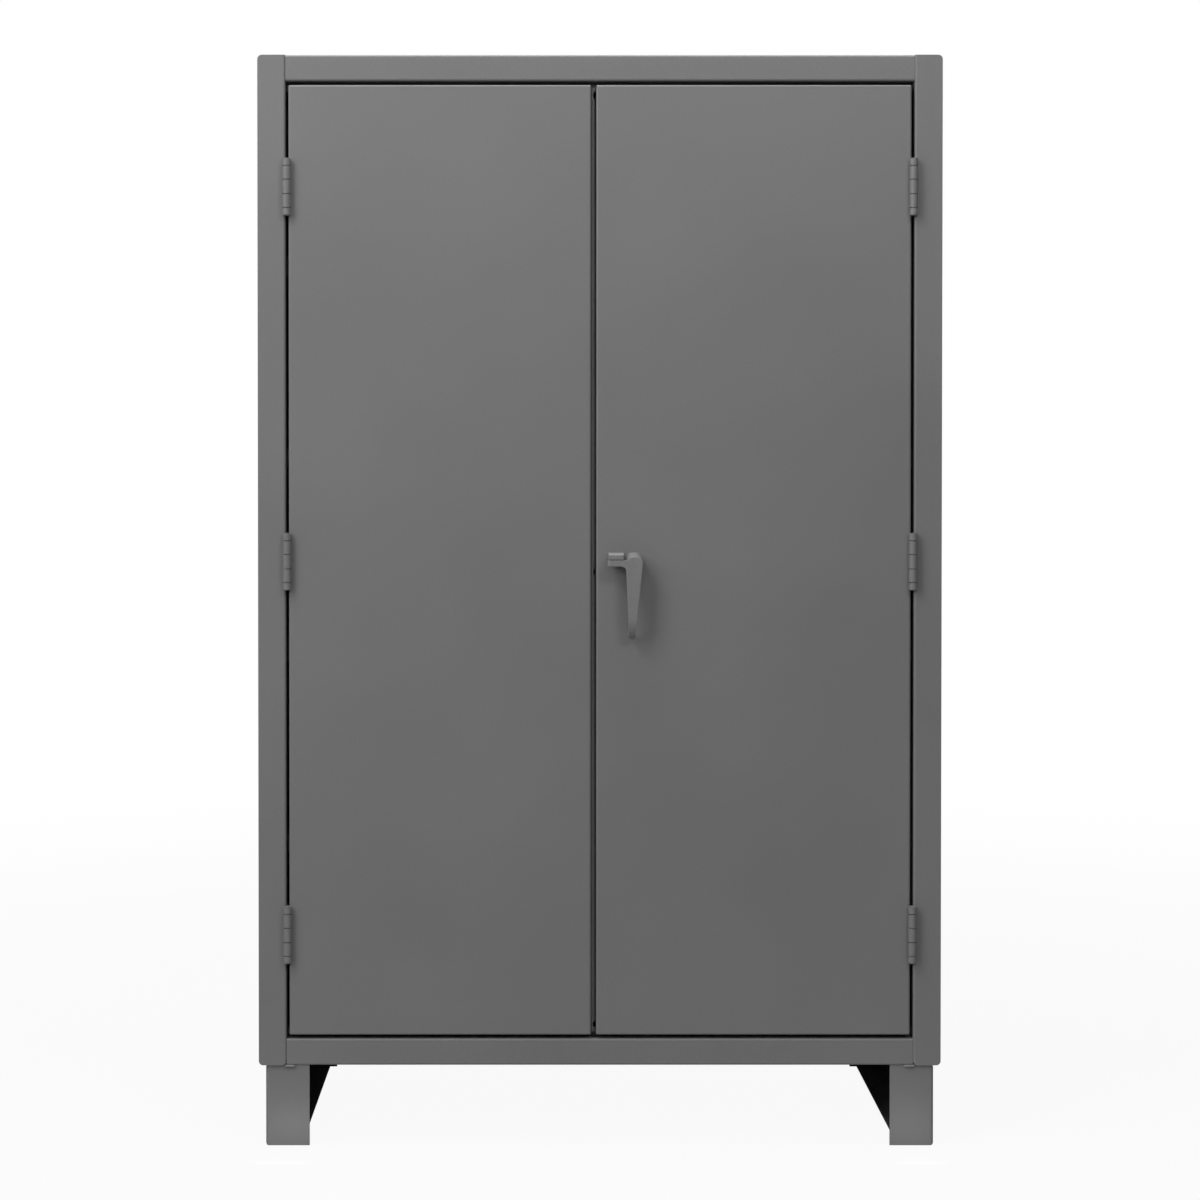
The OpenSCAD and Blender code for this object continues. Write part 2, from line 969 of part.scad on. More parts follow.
// Door skin with its four edges folded back and a lip on the upright ones
module door_pan(x0, x1) {
  t = door_sheet;
  difference() {
    round_front(x0, x1, door_z0, door_z1, front_y, door_back_y, door_bend_r);
    along_y(front_y - past, door_back_y + past)
      for (x = [x0, x1])
        for (z = [door_z0, door_z1])
          translate([x, z])
            scale([x == x0 ? 1 : -1, z == door_z0 ? 1 : -1])
              corner_cut(door_corner_r);
    round_front(
      x0 + t, x1 - t, door_z0 + t, door_z1 - t,
      front_y + t, door_back_y + past, door_bend_r - t
    );
  }
  for (x = [x0 + t, x1 - t - door_lip])
    block([x, door_back_y - t, door_z0 + t], [x + door_lip, door_back_y, door_z1 - t]);
}

module left_door_panel() {
  color(steel)
    door_pan(left_door_x0, left_door_x1);
}

module right_door_panel() {
  color(steel)
    difference() {
      door_pan(right_door_x0, right_door_x1);
      rod_slot(upper_rod_x, door_z1 - door_sheet - past, door_z1 + past);
      rod_slot(lower_rod_x, door_z0 - past, door_z0 + door_sheet + past);
      bar_y(hub_x, hub_z, bushing_d, front_y - past, skin_back_y + past);
    }
}

// Hat channel behind a door's skin, centred on x
module stiffener(x) {
  // Width of a foot, as a part of the whole
  foot_part = 0.16;
  foot = stiffener_w * foot_part;
  y1 = skin_back_y + stiffener_depth;
  half = stiffener_w / 2;
  color(steel)
    along_z(door_z0 + door_bend_r, door_z1 - door_bend_r)
      folded(
        [
          [x - half, skin_back_y], [x - half + foot, skin_back_y],
          [x - half + foot, y1], [x + half - foot, y1],
          [x + half - foot, skin_back_y], [x + half, skin_back_y]
        ],
        1, shelf_bend_r, stiffener_sheet
      );
}

module left_door_stiffener() {
  stiffener((left_door_x0 + left_door_x1) / 2);
}

module right_door_stiffener() {
  stiffener((right_door_x0 + right_door_x1) / 2);
}

// Notch in the strip's free edge at z
module strip_notch(z, r) {
  free_x = left_door_x1 + strip_cover;
  bar_y(
    free_x - notch_depth + r, z, 2 * r,
    front_y + strip_setback - past, front_y + strip_setback + strip_sheet + past
  );
}

// Angle on the left door's edge that closes most of the gap between the doors
module meeting_strip() {
  y0 = front_y + strip_setback;
  inner_r = 0.5;
  color(steel)
    difference() {
      along_z(door_z0 + door_corner_r, door_z1 - door_corner_r)
        folded(
          [
            [left_door_x1 + strip_cover, y0], [left_door_x1, y0],
            [left_door_x1, y0 + strip_leaf]
          ],
          -1, strip_sheet + inner_r, strip_sheet
        );
      strip_notch(door_z1 - upper_notch_drop, end_notch_r);
      strip_notch(hub_z - middle_notch_drop, middle_notch_r);
      strip_notch(door_z0 + lower_notch_rise, end_notch_r);
    }
}

// ---- handle and lock ----

module padlock_lug() {
  x0 = hub_x - ear_reach + lug_inset;
  y0 = front_y - lug_reach;
  z1 = lug_z0 + lug_h;
  color(steel)
    difference() {
      along_x(x0, x0 + lug_w)
        difference() {
          translate([y0, lug_z0])
            square([lug_reach, lug_h]);
          translate([y0, z1])
            mirror([0, 1])
              corner_cut(lug_round_r);
        }
      translate([padlock_x, padlock_y, lug_z0 - past])
        cylinder(d = padlock_d, h = lug_h + 2 * past);
    }
}

module handle_bushing() {
  color(zinc)
    difference() {
      union() {
        bar_y(hub_x, hub_z, bushing_flange_d, front_y - bushing_flange_t, front_y);
        bar_y(hub_x, hub_z, bushing_d, front_y, bushing_back_y);
      }
      bar_y(
        hub_x, hub_z, shaft_d + 2 * shaft_clearance,
        front_y - bushing_flange_t - past, bushing_back_y + past
      );
    }
}

module bushing_nut() {
  color(zinc)
    difference() {
      hex_y(hub_x, hub_z, bushing_nut_flats, skin_back_y, skin_back_y + bushing_nut_t);
      bar_y(hub_x, hub_z, bushing_d, skin_back_y - past, skin_back_y + bushing_nut_t + past);
    }
}

// Front outline of the lever, from its crown on the hub down to its rounded tip
module lever_outline() {
  tip_r = lever_tip_w / 2;
  tip_x = hub_x - lever_lean;
  tip_z = hub_z - lever_length + tip_r;
  translate([tip_x, tip_z])
    circle(tip_r);
  polygon([
    [hub_x - hub_r, hub_z], [tip_x - tip_r, tip_z],
    [tip_x + tip_r, tip_z], [hub_x + hub_r, hub_z]
  ]);
  intersection() {
    translate([hub_x, hub_z + crown - crown_r])
      circle(crown_r);
    translate([hub_x - hub_r, hub_z])
      square([2 * hub_r, crown]);
  }
}

// Side outline of the lever, whose tip curves back to the door
module lever_side() {
  drop = tip_curve_r * sin(tip_curve_angle);
  bend_z = hub_z - lever_length + drop;
  corner = tip_curve_r * tan(tip_curve_angle / 2);
  // Straight part behind the curve
  tip_end = 6;
  run = corner + tip_end;
  folded(
    [
      [handle_front_y, hub_z + crown + past],
      [handle_front_y, bend_z - corner],
      [
        handle_front_y + run * sin(tip_curve_angle),
        bend_z - corner - run * cos(tip_curve_angle)
      ]
    ],
    1, tip_curve_r, lever_t
  );
}

// Hub whose upper side slopes down to the front
module hub() {
  cut_back = hub_r * tan(hub_slope) + past;
  translate([hub_x, hub_back_y, hub_z])
    intersection() {
      rotate([90, 0, 0])
        cylinder(r = hub_r, h = hub_h);
      rotate([90 + hub_slope, 0, 0])
        translate([0, 0, -cut_back])
          cylinder(r = slope_r, h = hub_h / cos(hub_slope) + 2 * cut_back);
    }
}

// Ear that lies under the lug, with its fillet to the lever
module ear() {
  ear_x = hub_x - ear_reach;
  z0 = ear_top_z - ear_h;
  // Place of the lever's side at the fillet, as a part of the hub's radius
  side_part = 0.95;
  lever_x = hub_x - hub_r * side_part;
  along_z(z0, ear_top_z)
    difference() {
      translate([ear_x, handle_front_y])
        square([ear_reach, ear_depth]);
      translate([ear_x, handle_front_y])
        corner_cut(ear_corner_r);
      translate([ear_x, handle_front_y + ear_depth])
        mirror([0, 1])
          corner_cut(ear_corner_r);
    }
  along_y(handle_front_y, handle_front_y + lever_t)
    difference() {
      translate([lever_x - ear_fillet_r, z0 - ear_fillet_r])
        square([2 * ear_fillet_r, ear_fillet_r]);
      translate([lever_x - ear_fillet_r, z0 - ear_fillet_r])
        circle(ear_fillet_r);
    }
}

module door_handle() {
  color(steel)
    difference() {
      union() {
        intersection() {
          along_y(handle_front_y - past, front_y)
            lever_outline();
          along_x(hub_x - hub_r - past, hub_x + hub_r + past)
            lever_side();
        }
        hub();
        ear();
      }
      translate([padlock_x, padlock_y, ear_top_z - ear_h - past])
        cylinder(d = padlock_d, h = ear_h + 2 * past);
      bar_y(hub_x, hub_z, shaft_d, handle_front_y + lever_t, front_y);
    }
}

module handle_shaft() {
  // Length of the thread behind the cam's nut
  thread_end = 2;
  color(zinc) {
    bar_y(hub_x, hub_z, shaft_d, handle_front_y + lever_t, cam_y);
    bar_y(hub_x, hub_z, shaft_end_d, cam_y, cam_y + rod_t + cam_nut_t + thread_end);
  }
}

// Places of the two cam pins: the upper rod's at the upper left of the shaft,
// the lower rod's at its lower right
function cam_pin_at(dir) = [hub_x - dir * pin_side_near, hub_z + dir * pin_rise];

module latch_cam() {
  // Metal around the pins and around the shaft
  arm_rim = 5;
  boss_rim = 8;
  arm_r = cam_pin_d / 2 + arm_rim;
  boss_r = shaft_end_d / 2 + boss_rim;
  color(zinc)
    along_y(cam_y, cam_y + rod_t)
      difference() {
        union() {
          translate([hub_x, hub_z])
            circle(boss_r);
          for (dir = [-1, 1]) {
            translate(cam_pin_at(dir))
              circle(arm_r);
            translate([hub_x, hub_z])
              rotate(dir == 1 ? 135 : -45)
                translate([0, -arm_r])
                  square([cam_r, 2 * arm_r]);
          }
        }
        translate([hub_x, hub_z])
          circle(d = shaft_end_d);
        for (dir = [-1, 1])
          translate(cam_pin_at(dir))
            circle(d = cam_pin_d);
      }
}

module cam_pin(dir) {
  at = cam_pin_at(dir);
  // Length of a pin behind its rod
  pin_end = 1.5;
  color(zinc)
    bar_y(at[0], at[1], cam_pin_d, cam_y, rod_y + rod_t + pin_end);
}

module upper_cam_pin() {
  cam_pin(1);
}

module lower_cam_pin() {
  cam_pin(-1);
}

module cam_nut() {
  color(zinc)
    difference() {
      hex_y(hub_x, hub_z, cam_nut_flats, cam_y + rod_t, cam_y + rod_t + cam_nut_t);
      bar_y(hub_x, hub_z, shaft_end_d, cam_y, cam_y + rod_t + cam_nut_t + past);
    }
}

// Flat rod with an eye for its cam pin; dir is 1 for the upper rod
module lock_rod(x, dir, tip_z) {
  eye_z = hub_z + dir * pin_rise;
  head_w = eye_half_w + eye_wall;
  head_h = eye_half_h + eye_wall;
  low_z = min(eye_z, tip_z);
  color(black_steel)
    along_y(rod_y, rod_y + rod_t)
      difference() {
        union() {
          translate([x - head_w, eye_z - head_h])
            square([2 * head_w, 2 * head_h]);
          translate([x - rod_w / 2, low_z])
            square([rod_w, abs(tip_z - eye_z)]);
        }
        translate([x - eye_half_w, eye_z - eye_half_h])
          square([2 * eye_half_w, 2 * eye_half_h]);
      }
}

module upper_lock_rod() {
  lock_rod(upper_rod_x, 1, opening_z1 - rod_stand_off);
}

module lower_lock_rod() {
  lock_rod(lower_rod_x, -1, opening_z0 + rod_stand_off);
}

// Strap on the door's skin that a lock rod slides through
module rod_guide(x, z) {
  in_x = rod_w / 2 + guide_clearance;
  in_y0 = rod_y - guide_clearance;
  in_y1 = rod_y + rod_t + guide_clearance;
  color(zinc)
    difference() {
      block(
        [x - in_x - guide_wall, skin_back_y, z - guide_h / 2],
        [x + in_x + guide_wall, in_y1 + guide_wall, z + guide_h / 2]
      );
      block([x - in_x, in_y0, z - guide_h / 2 - past], [x + in_x, in_y1, z + guide_h / 2 + past]);
    }
}

module upper_rod_guide() {
  rod_guide(upper_rod_x, door_z1 - guide_inset);
}

module lower_rod_guide() {
  rod_guide(lower_rod_x, door_z0 + guide_inset);
}

left_side_panel();
right_side_panel();
back_panel();
top_panel();
floor_panel();
left_front_post();
right_front_post();
top_front_rail();
bottom_front_rail();
left_leg_base();
right_leg_base();
left_front_upright();
left_rear_upright();
right_front_upright();
right_rear_upright();
shelf_1();
shelf_2();
shelf_3();
shelf_4();
shelf_clips();
top_stop_strip();
bottom_stop_strip();
top_strike();
bottom_strike();
left_upper_frame_leaf();
left_middle_frame_leaf();
left_lower_frame_leaf();
right_upper_frame_leaf();
right_middle_frame_leaf();
right_lower_frame_leaf();
left_hinge_pins();
right_hinge_pins();
left_door_panel();
left_door_stiffener();
meeting_strip();
left_upper_door_leaf();
left_middle_door_leaf();
left_lower_door_leaf();
right_door_panel();
right_door_stiffener();
right_upper_door_leaf();
right_middle_door_leaf();
right_lower_door_leaf();
padlock_lug();
handle_bushing();
bushing_nut();
upper_rod_guide();
lower_rod_guide();
door_handle();
handle_shaft();
latch_cam();
upper_cam_pin();
lower_cam_pin();
cam_nut();
upper_lock_rod();
lower_lock_rod();
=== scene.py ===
import json
import math

import bpy
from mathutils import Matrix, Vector


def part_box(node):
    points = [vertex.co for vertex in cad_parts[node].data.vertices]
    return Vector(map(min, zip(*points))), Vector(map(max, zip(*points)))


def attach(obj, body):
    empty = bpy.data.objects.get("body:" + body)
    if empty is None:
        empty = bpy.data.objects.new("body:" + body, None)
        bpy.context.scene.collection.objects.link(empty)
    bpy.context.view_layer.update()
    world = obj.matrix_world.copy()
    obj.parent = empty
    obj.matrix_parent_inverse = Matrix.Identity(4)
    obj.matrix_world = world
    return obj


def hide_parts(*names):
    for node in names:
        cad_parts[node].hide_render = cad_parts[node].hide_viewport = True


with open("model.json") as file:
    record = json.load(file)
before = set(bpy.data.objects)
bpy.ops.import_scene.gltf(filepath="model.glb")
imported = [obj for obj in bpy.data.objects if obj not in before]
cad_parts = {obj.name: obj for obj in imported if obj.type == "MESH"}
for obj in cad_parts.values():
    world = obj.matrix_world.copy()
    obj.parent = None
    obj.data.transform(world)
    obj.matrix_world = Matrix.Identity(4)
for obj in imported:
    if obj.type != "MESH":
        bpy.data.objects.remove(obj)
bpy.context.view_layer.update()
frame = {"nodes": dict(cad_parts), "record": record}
nodes = frame["nodes"]
bodies = frame["record"]["behaviour"]["bodies"]
bodyOf = {name: body for body, names in bodies.items() for name in names}
print("frame loaded:", len(nodes), "nodes")

cameraValues = {
    "distance": 4.5,  # metres in front of the doors
    "across": -0.098,  # metres to the left of the middle
    "height": 1.222,
    "lens": 75.08,  # millimetres
    "sensor": 36,  # millimetres across
    "reach": 200,  # metres, so that the far floor is not cut off
    "tiltDown": 0.82,  # degrees
    "shiftAcross": 0.0455,
    "shiftUp": -0.0794,
}

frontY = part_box("left_front_post")[0].y  # the face that the camera looks at
cameraPlace = (cameraValues["across"], frontY - cameraValues["distance"], cameraValues["height"])
bpy.ops.object.camera_add(
    location=cameraPlace,
    rotation=(math.radians(90 - cameraValues["tiltDown"]), 0, 0),
)
camera = bpy.context.object
camera.name = "camera"
camera.data.sensor_width = cameraValues["sensor"]
camera.data.lens = cameraValues["lens"]
camera.data.shift_x = cameraValues["shiftAcross"]
camera.data.shift_y = cameraValues["shiftUp"]
camera.data.clip_end = cameraValues["reach"]
bpy.context.scene.camera = camera
bpy.context.scene.view_settings.view_transform = "Standard"

studioValues = {
    "floorSize": 80.0,
    "floorShade": 0.35,  # the floor's own shade, which lights the object from below
    "floorRoughness": 0.6,
    "floorSeen": 0.94,  # share of the backdrop's white that the eye gets from the floor
    "floorFade": (1.2, 5.0),  # metres from the middle between which that share rises to one
    "skySeen": 1.0,  # the white backdrop in the picture
    "skyLight": 0.08,  # the same backdrop as a lamp
}


def connect(tree, fromNode, fromSocket, toNode, toSocket):
    tree.links.new(fromNode.outputs[fromSocket], toNode.inputs[toSocket])


def makeFloor():
    bpy.ops.object.select_all(action="DESELECT")
    bpy.ops.mesh.primitive_plane_add(size=studioValues["floorSize"], location=(0, 0, 0))
    floor = bpy.context.object
    floor.name = "floor"
    material = bpy.data.materials.new("paleFloor")
    material.use_nodes = True
    surface = material.node_tree.nodes["Principled BSDF"]
    surface.inputs["Base Color"].default_value = (*[studioValues["floorShade"]] * 3, 1)
    surface.inputs["Roughness"].default_value = studioValues["floorRoughness"]
    tree = material.node_tree
    lightPath = tree.nodes.new("ShaderNodeLightPath")
    white = tree.nodes.new("ShaderNodeEmission")
    white.inputs["Strength"].default_value = studioValues["skySeen"]
    coords = tree.nodes.new("ShaderNodeTexCoord")
    away = tree.nodes.new("ShaderNodeVectorMath")
    away.operation = "LENGTH"
    connect(tree, coords, "Object", away, 0)
    fade = tree.nodes.new("ShaderNodeMapRange")
    fade.interpolation_type = "SMOOTHSTEP"
    near, far = studioValues["floorFade"]
    fade.inputs["From Min"].default_value = near
    fade.inputs["From Max"].default_value = far
    fade.inputs["To Min"].default_value = studioValues["floorSeen"]
    fade.inputs["To Max"].default_value = 1.0
    connect(tree, away, "Value", fade, "Value")
    seenShare = tree.nodes.new("ShaderNodeMath")
    seenShare.operation = "MULTIPLY"
    connect(tree, lightPath, "Is Camera Ray", seenShare, 0)
    connect(tree, fade, "Result", seenShare, 1)
    choice = tree.nodes.new("ShaderNodeMixShader")
    connect(tree, seenShare, 0, choice, 0)
    connect(tree, surface, "BSDF", choice, 1)
    connect(tree, white, "Emission", choice, 2)
    connect(tree, choice, "Shader", tree.nodes["Material Output"], "Surface")
    floor.data.materials.append(material)


def makeSky():
    world = bpy.data.worlds.new("studio")
    bpy.context.scene.world = world
    world.use_nodes = True
    tree = world.node_tree
    lightPath = tree.nodes.new("ShaderNodeLightPath")
    seen = tree.nodes.new("ShaderNodeBackground")
    seen.inputs["Strength"].default_value = studioValues["skySeen"]
    seen.inputs["Color"].default_value = (1, 1, 1, 1)
    lit = tree.nodes["Background"]
    lit.inputs["Color"].default_value = (1, 1, 1, 1)
    lit.inputs["Strength"].default_value = studioValues["skyLight"]
    choice = tree.nodes.new("ShaderNodeMixShader")
    connect(tree, lightPath, "Is Camera Ray", choice, 0)
    connect(tree, lit, "Background", choice, 1)
    connect(tree, seen, "Background", choice, 2)
    connect(tree, choice, "Shader", tree.nodes["World Output"], "Surface")


lightValues = {
    "upperLeft": {"place": (-2.28, -2.45, 4.40), "size": (1.5, 1.5), "power": 90.0},
    "upperRight": {"place": (1.63, -3.64, 3.84), "size": (1.1, 1.1), "power": 50.0},
    "upperFront": {"place": (0.0, -1.9, 5.2), "size": (2.6, 0.8), "power": 22.0},
    "overhead": {"place": (0.0, -0.35, 4.7), "size": (3.0, 0.8), "power": 130.0},
    "front": {"place": (-0.4, -6.5, 3.2), "size": (3.0, 2.4), "power": 34.0},
    "left": {"place": (-3.8, -3.6, 2.8), "size": (2.8, 2.0), "power": 90.0},
    # two small lamps stand in for the light that a white floor throws on the legs
    "leftLeg": {
        "place": (-0.563, -0.425, 0.012),
        "size": (0.09, 0.02),
        "power": 0.03,
        "aim": (-0.563, 0, 0.012),
    },
    "rightLeg": {
        "place": (0.563, -0.425, 0.012),
        "size": (0.09, 0.02),
        "power": 0.03,
        "aim": (0.563, 0, 0.012),
    },
}
lightHeight = 1.15  # where the lamps look, on the doors
lightTarget = Vector((0, frontY, lightHeight))


def makeLights():
    for name, values in lightValues.items():
        place = Vector(values["place"])
        target = Vector(values.get("aim", lightTarget))
        aim = (target - place).to_track_quat("-Z", "Y").to_euler()
        bpy.ops.object.light_add(type="AREA", location=place, rotation=aim)
        light = bpy.context.object
        light.name = name
        light.data.shape = "RECTANGLE"
        light.data.size, light.data.size_y = values["size"]
        light.data.energy = values["power"]


makeFloor()
makeSky()
makeLights()
print("studio ready")


def makeGroup(name, inputs, outputs):
    group = bpy.data.node_groups.new(name, "ShaderNodeTree")
    for label, kind, value in inputs:
        socket = group.interface.new_socket(name=label, in_out="INPUT", socket_type=kind)
        if value is not None:
            socket.default_value = value
    for label, kind in outputs:
        group.interface.new_socket(name=label, in_out="OUTPUT", socket_type=kind)
    start = group.nodes.new("NodeGroupInput")
    end = group.nodes.new("NodeGroupOutput")
    return group, start, end


def noiseNode(tree, detail, roughness=0.5):
    noise = tree.nodes.new("ShaderNodeTexNoise")
    noise.inputs["Detail"].default_value = detail
    noise.inputs["Roughness"].default_value = roughness
    return noise


def mathNode(tree, operation, second=None):
    node = tree.nodes.new("ShaderNodeMath")
    node.operation = operation
    if second is not None:
        node.inputs[1].default_value = second
    return node


skinValues = {
    "pebbles": 420.0,  # for each metre, where a finish gives no value of its own
    "patches": 3.0,
    "detail": 3.0,
    "pebbleRoughness": 0.55,
    "patchRoughness": 0.45,
    "speckScale": 1.7,  # specks for each pebble, along a line
    "speckShare": 0.35,
    "span": (0.3, 0.7),  # most of a noise's values lie between these two
}


def makePaintSkin():
    # fine pebbled skin of a baked powder paint, with slow patches of tone over it
    group, start, end = makeGroup(
        "paintSkin",
        [
            ("Coords", "NodeSocketVector", None),
            ("Pebbles", "NodeSocketFloat", skinValues["pebbles"]),
            ("Patches", "NodeSocketFloat", skinValues["patches"]),
        ],
        [("Height", "NodeSocketFloat"), ("Grain", "NodeSocketFloat"), ("Tone", "NodeSocketFloat")],
    )
    pebbles = noiseNode(group, skinValues["detail"], skinValues["pebbleRoughness"])
    connect(group, start, "Coords", pebbles, "Vector")
    connect(group, start, "Pebbles", pebbles, "Scale")
    patches = noiseNode(group, skinValues["detail"], skinValues["patchRoughness"])
    connect(group, start, "Coords", patches, "Vector")
    connect(group, start, "Patches", patches, "Scale")
    specks = group.nodes.new("ShaderNodeTexVoronoi")
    connect(group, start, "Coords", specks, "Vector")
    finer = mathNode(group, "MULTIPLY", skinValues["speckScale"])
    connect(group, start, "Pebbles", finer, 0)
    connect(group, finer, 0, specks, "Scale")
    blend = mathNode(group, "MULTIPLY_ADD", skinValues["speckShare"])
    connect(group, specks, "Distance", blend, 0)
    connect(group, pebbles, "Fac", blend, 2)
    connect(group, blend, 0, end, "Height")
    connect(group, pebbles, "Fac", end, "Grain")
    connect(group, patches, "Fac", end, "Tone")
    return group


paintSkin = makePaintSkin()


def addGroup(tree, group, values):
    node = tree.nodes.new("ShaderNodeGroup")
    node.node_tree = group
    for label, value in values.items():
        node.inputs[label].default_value = value
    return node


def mapRange(tree, low, high):
    node = tree.nodes.new("ShaderNodeMapRange")
    spanLow, spanHigh = skinValues["span"]
    node.inputs["From Min"].default_value = spanLow
    node.inputs["From Max"].default_value = spanHigh
    node.inputs["To Min"].default_value = low
    node.inputs["To Max"].default_value = high
    return node


paintValues = {
    "greyPaint": {
        "shade": 0.150,
        "toneShare": 0.035,
        "grainShare": 0.05,
        "pebbles": 380.0,
        "pebbleDepth": 0.00005,  # metres
        "waveSize": 2.6,  # waves of the sheet, for each metre
        "waveDepth": 0.0016,
        "roughness": (0.40, 0.50),
    },
    # painted shade: the lock rods are painted almost black so that their tips in the gap above the
    # doors read as shade
    "paintedShadeBlack": {
        "shade": 0.020,
        "toneShare": 0.10,
        "grainShare": 0.10,
        "pebbles": 900.0,
        "pebbleDepth": 0.00003,
        "waveSize": 30.0,
        "waveDepth": 0.0001,
        "roughness": (0.38, 0.55),
    },
    "castPaint": {
        "shade": 0.165,
        "toneShare": 0.06,
        "grainShare": 0.10,
        "pebbles": 520.0,
        "pebbleDepth": 0.00016,
        "waveSize": 60.0,
        "waveDepth": 0.0004,
        "roughness": (0.36, 0.50),
    },
}


blueShare = 1.01  # the greys lean a little to blue


def makePaint(name):
    values = paintValues[name]
    material = bpy.data.materials.new(name)
    material.use_nodes = True
    tree = material.node_tree
    surface = tree.nodes["Principled BSDF"]
    coords = tree.nodes.new("ShaderNodeTexCoord")
    skin = addGroup(tree, paintSkin, {"Pebbles": values["pebbles"]})
    connect(tree, coords, "Object", skin, "Coords")

    tone = mapRange(tree, 1 - values["toneShare"], 1 + values["toneShare"])
    grain = mapRange(tree, 1 - values["grainShare"], 1 + values["grainShare"])
    connect(tree, skin, "Tone", tone, "Value")
    connect(tree, skin, "Grain", grain, "Value")
    both = mathNode(tree, "MULTIPLY")
    connect(tree, tone, "Result", both, 0)
    connect(tree, grain, "Result", both, 1)
    colour = tree.nodes.new("ShaderNodeMix")
    colour.data_type = "RGBA"
    colour.blend_type = "MULTIPLY"
    colour.inputs["Factor"].default_value = 1.0
    shade = values["shade"]
    colour.inputs["A"].default_value = (shade, shade, shade * blueShare, 1)
    tree.links.new(both.outputs[0], colour.inputs["B"])
    tree.links.new(colour.outputs["Result"], surface.inputs["Base Color"])

    gloss = mapRange(tree, *values["roughness"])
    connect(tree, skin, "Tone", gloss, "Value")
    connect(tree, gloss, "Result", surface, "Roughness")

    wave = noiseNode(tree, 1.0)
    wave.inputs["Scale"].default_value = values["waveSize"]
    connect(tree, coords, "Object", wave, "Vector")
    waves = tree.nodes.new("ShaderNodeBump")
    waves.inputs["Strength"].default_value = 1.0
    waves.inputs["Distance"].default_value = values["waveDepth"]
    connect(tree, wave, "Fac", waves, "Height")
    pebbles = tree.nodes.new("ShaderNodeBump")
    pebbles.inputs["Strength"].default_value = 1.0
    pebbles.inputs["Distance"].default_value = values["pebbleDepth"]
    connect(tree, skin, "Height", pebbles, "Height")
    connect(tree, waves, "Normal", pebbles, "Normal")
    connect(tree, pebbles, "Normal", surface, "Normal")
    return material


zincValues = {
    "shade": 0.56,
    "darkTint": (0.93, 0.95, 1.0),
    "lightTint": (1.1, 1.1, 1.08),
    "spangle": 70.0,
    "patches": 30.0,
    "roughness": (0.26, 0.42),
    "scratch": 900.0,
    "scratchDepth": 0.00002,
}


def makeZinc():
    material = bpy.data.materials.new("zincPlate")
    material.use_nodes = True
    tree = material.node_tree
    surface = tree.nodes["Principled BSDF"]
    surface.inputs["Metallic"].default_value = 1.0
    coords = tree.nodes.new("ShaderNodeTexCoord")
    spangle = tree.nodes.new("ShaderNodeTexVoronoi")
    spangle.inputs["Scale"].default_value = zincValues["spangle"]
    connect(tree, coords, "Object", spangle, "Vector")
    colour = tree.nodes.new("ShaderNodeMix")
    colour.data_type = "RGBA"
    for socket, tint in (("A", "darkTint"), ("B", "lightTint")):
        parts = [zincValues["shade"] * share for share in zincValues[tint]]
        colour.inputs[socket].default_value = (*parts, 1)
    connect(tree, spangle, "Distance", colour, "Factor")
    tree.links.new(colour.outputs["Result"], surface.inputs["Base Color"])
    sizes = {"Pebbles": zincValues["scratch"], "Patches": zincValues["patches"]}
    skin = addGroup(tree, paintSkin, sizes)
    connect(tree, coords, "Object", skin, "Coords")
    gloss = mapRange(tree, *zincValues["roughness"])
    connect(tree, skin, "Tone", gloss, "Value")
    connect(tree, gloss, "Result", surface, "Roughness")
    bump = tree.nodes.new("ShaderNodeBump")
    bump.inputs["Distance"].default_value = zincValues["scratchDepth"]
    connect(tree, skin, "Grain", bump, "Height")
    connect(tree, bump, "Normal", surface, "Normal")
    return material


finishes = {
    "grey_paint": makePaint("greyPaint"),
    "cast_grey": makePaint("castPaint"),
    # the lock rods get the near-black paint that stands in for shade in the top gap
    "black_steel": makePaint("paintedShadeBlack"),
    "zinc_plate": makeZinc(),
}
slotOf = {row["node"]: row["material_slot"] for row in frame["record"]["subparts"]}
print("finishes ready")


def activate(piece):
    bpy.ops.object.select_all(action="DESELECT")
    piece.select_set(True)
    bpy.context.view_layer.objects.active = piece


copyValues = {"merge": 0.00001, "flatAngle": 0.5}  # metres, degrees


def copyOf(nodeName, pieceName):
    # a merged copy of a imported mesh, in flat faces where the metal is flat
    mesh = nodes[nodeName].data.copy()
    mesh.name = pieceName
    piece = bpy.data.objects.new(pieceName, mesh)
    bpy.context.collection.objects.link(piece)
    activate(piece)
    bpy.ops.mesh.customdata_custom_splitnormals_clear()
    bpy.ops.object.mode_set(mode="EDIT")
    bpy.ops.mesh.select_all(action="SELECT")
    bpy.ops.mesh.remove_doubles(threshold=copyValues["merge"])
    bpy.ops.mesh.dissolve_limited(angle_limit=math.radians(copyValues["flatAngle"]))
    bpy.ops.mesh.select_all(action="DESELECT")
    bpy.ops.object.mode_set(mode="OBJECT")
    mesh.materials.clear()
    return piece


def finishPiece(piece, body, slot, stands=()):
    activate(piece)
    piece.data.materials.clear()
    piece.data.materials.append(finishes[slot])
    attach(piece, body)
    if stands:
        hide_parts(*stands)


def applyAll(piece):
    activate(piece)
    for modifier in list(piece.modifiers):
        bpy.ops.object.modifier_apply(modifier=modifier.name)


# widths in metres; the last two tables go by the end of a node's name
edgeValues = {"width": 0.0004, "segments": 2, "angle": 35.0}
wideEdges = {"_leaf": 0.0006}
frontEdges = {"_post": 0.0016, "_rail": 0.0016, "door_panel": 0.0022, "_leg_base": 0.0016}
bendValues = {"segments": 3, "profile": 0.5, "tolerance": 0.00002}
knuckleValues = {"step": 0.0004, "level": 0.99}
bodyEnds = (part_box("top_front_rail")[1].z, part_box("bottom_front_rail")[0].z)


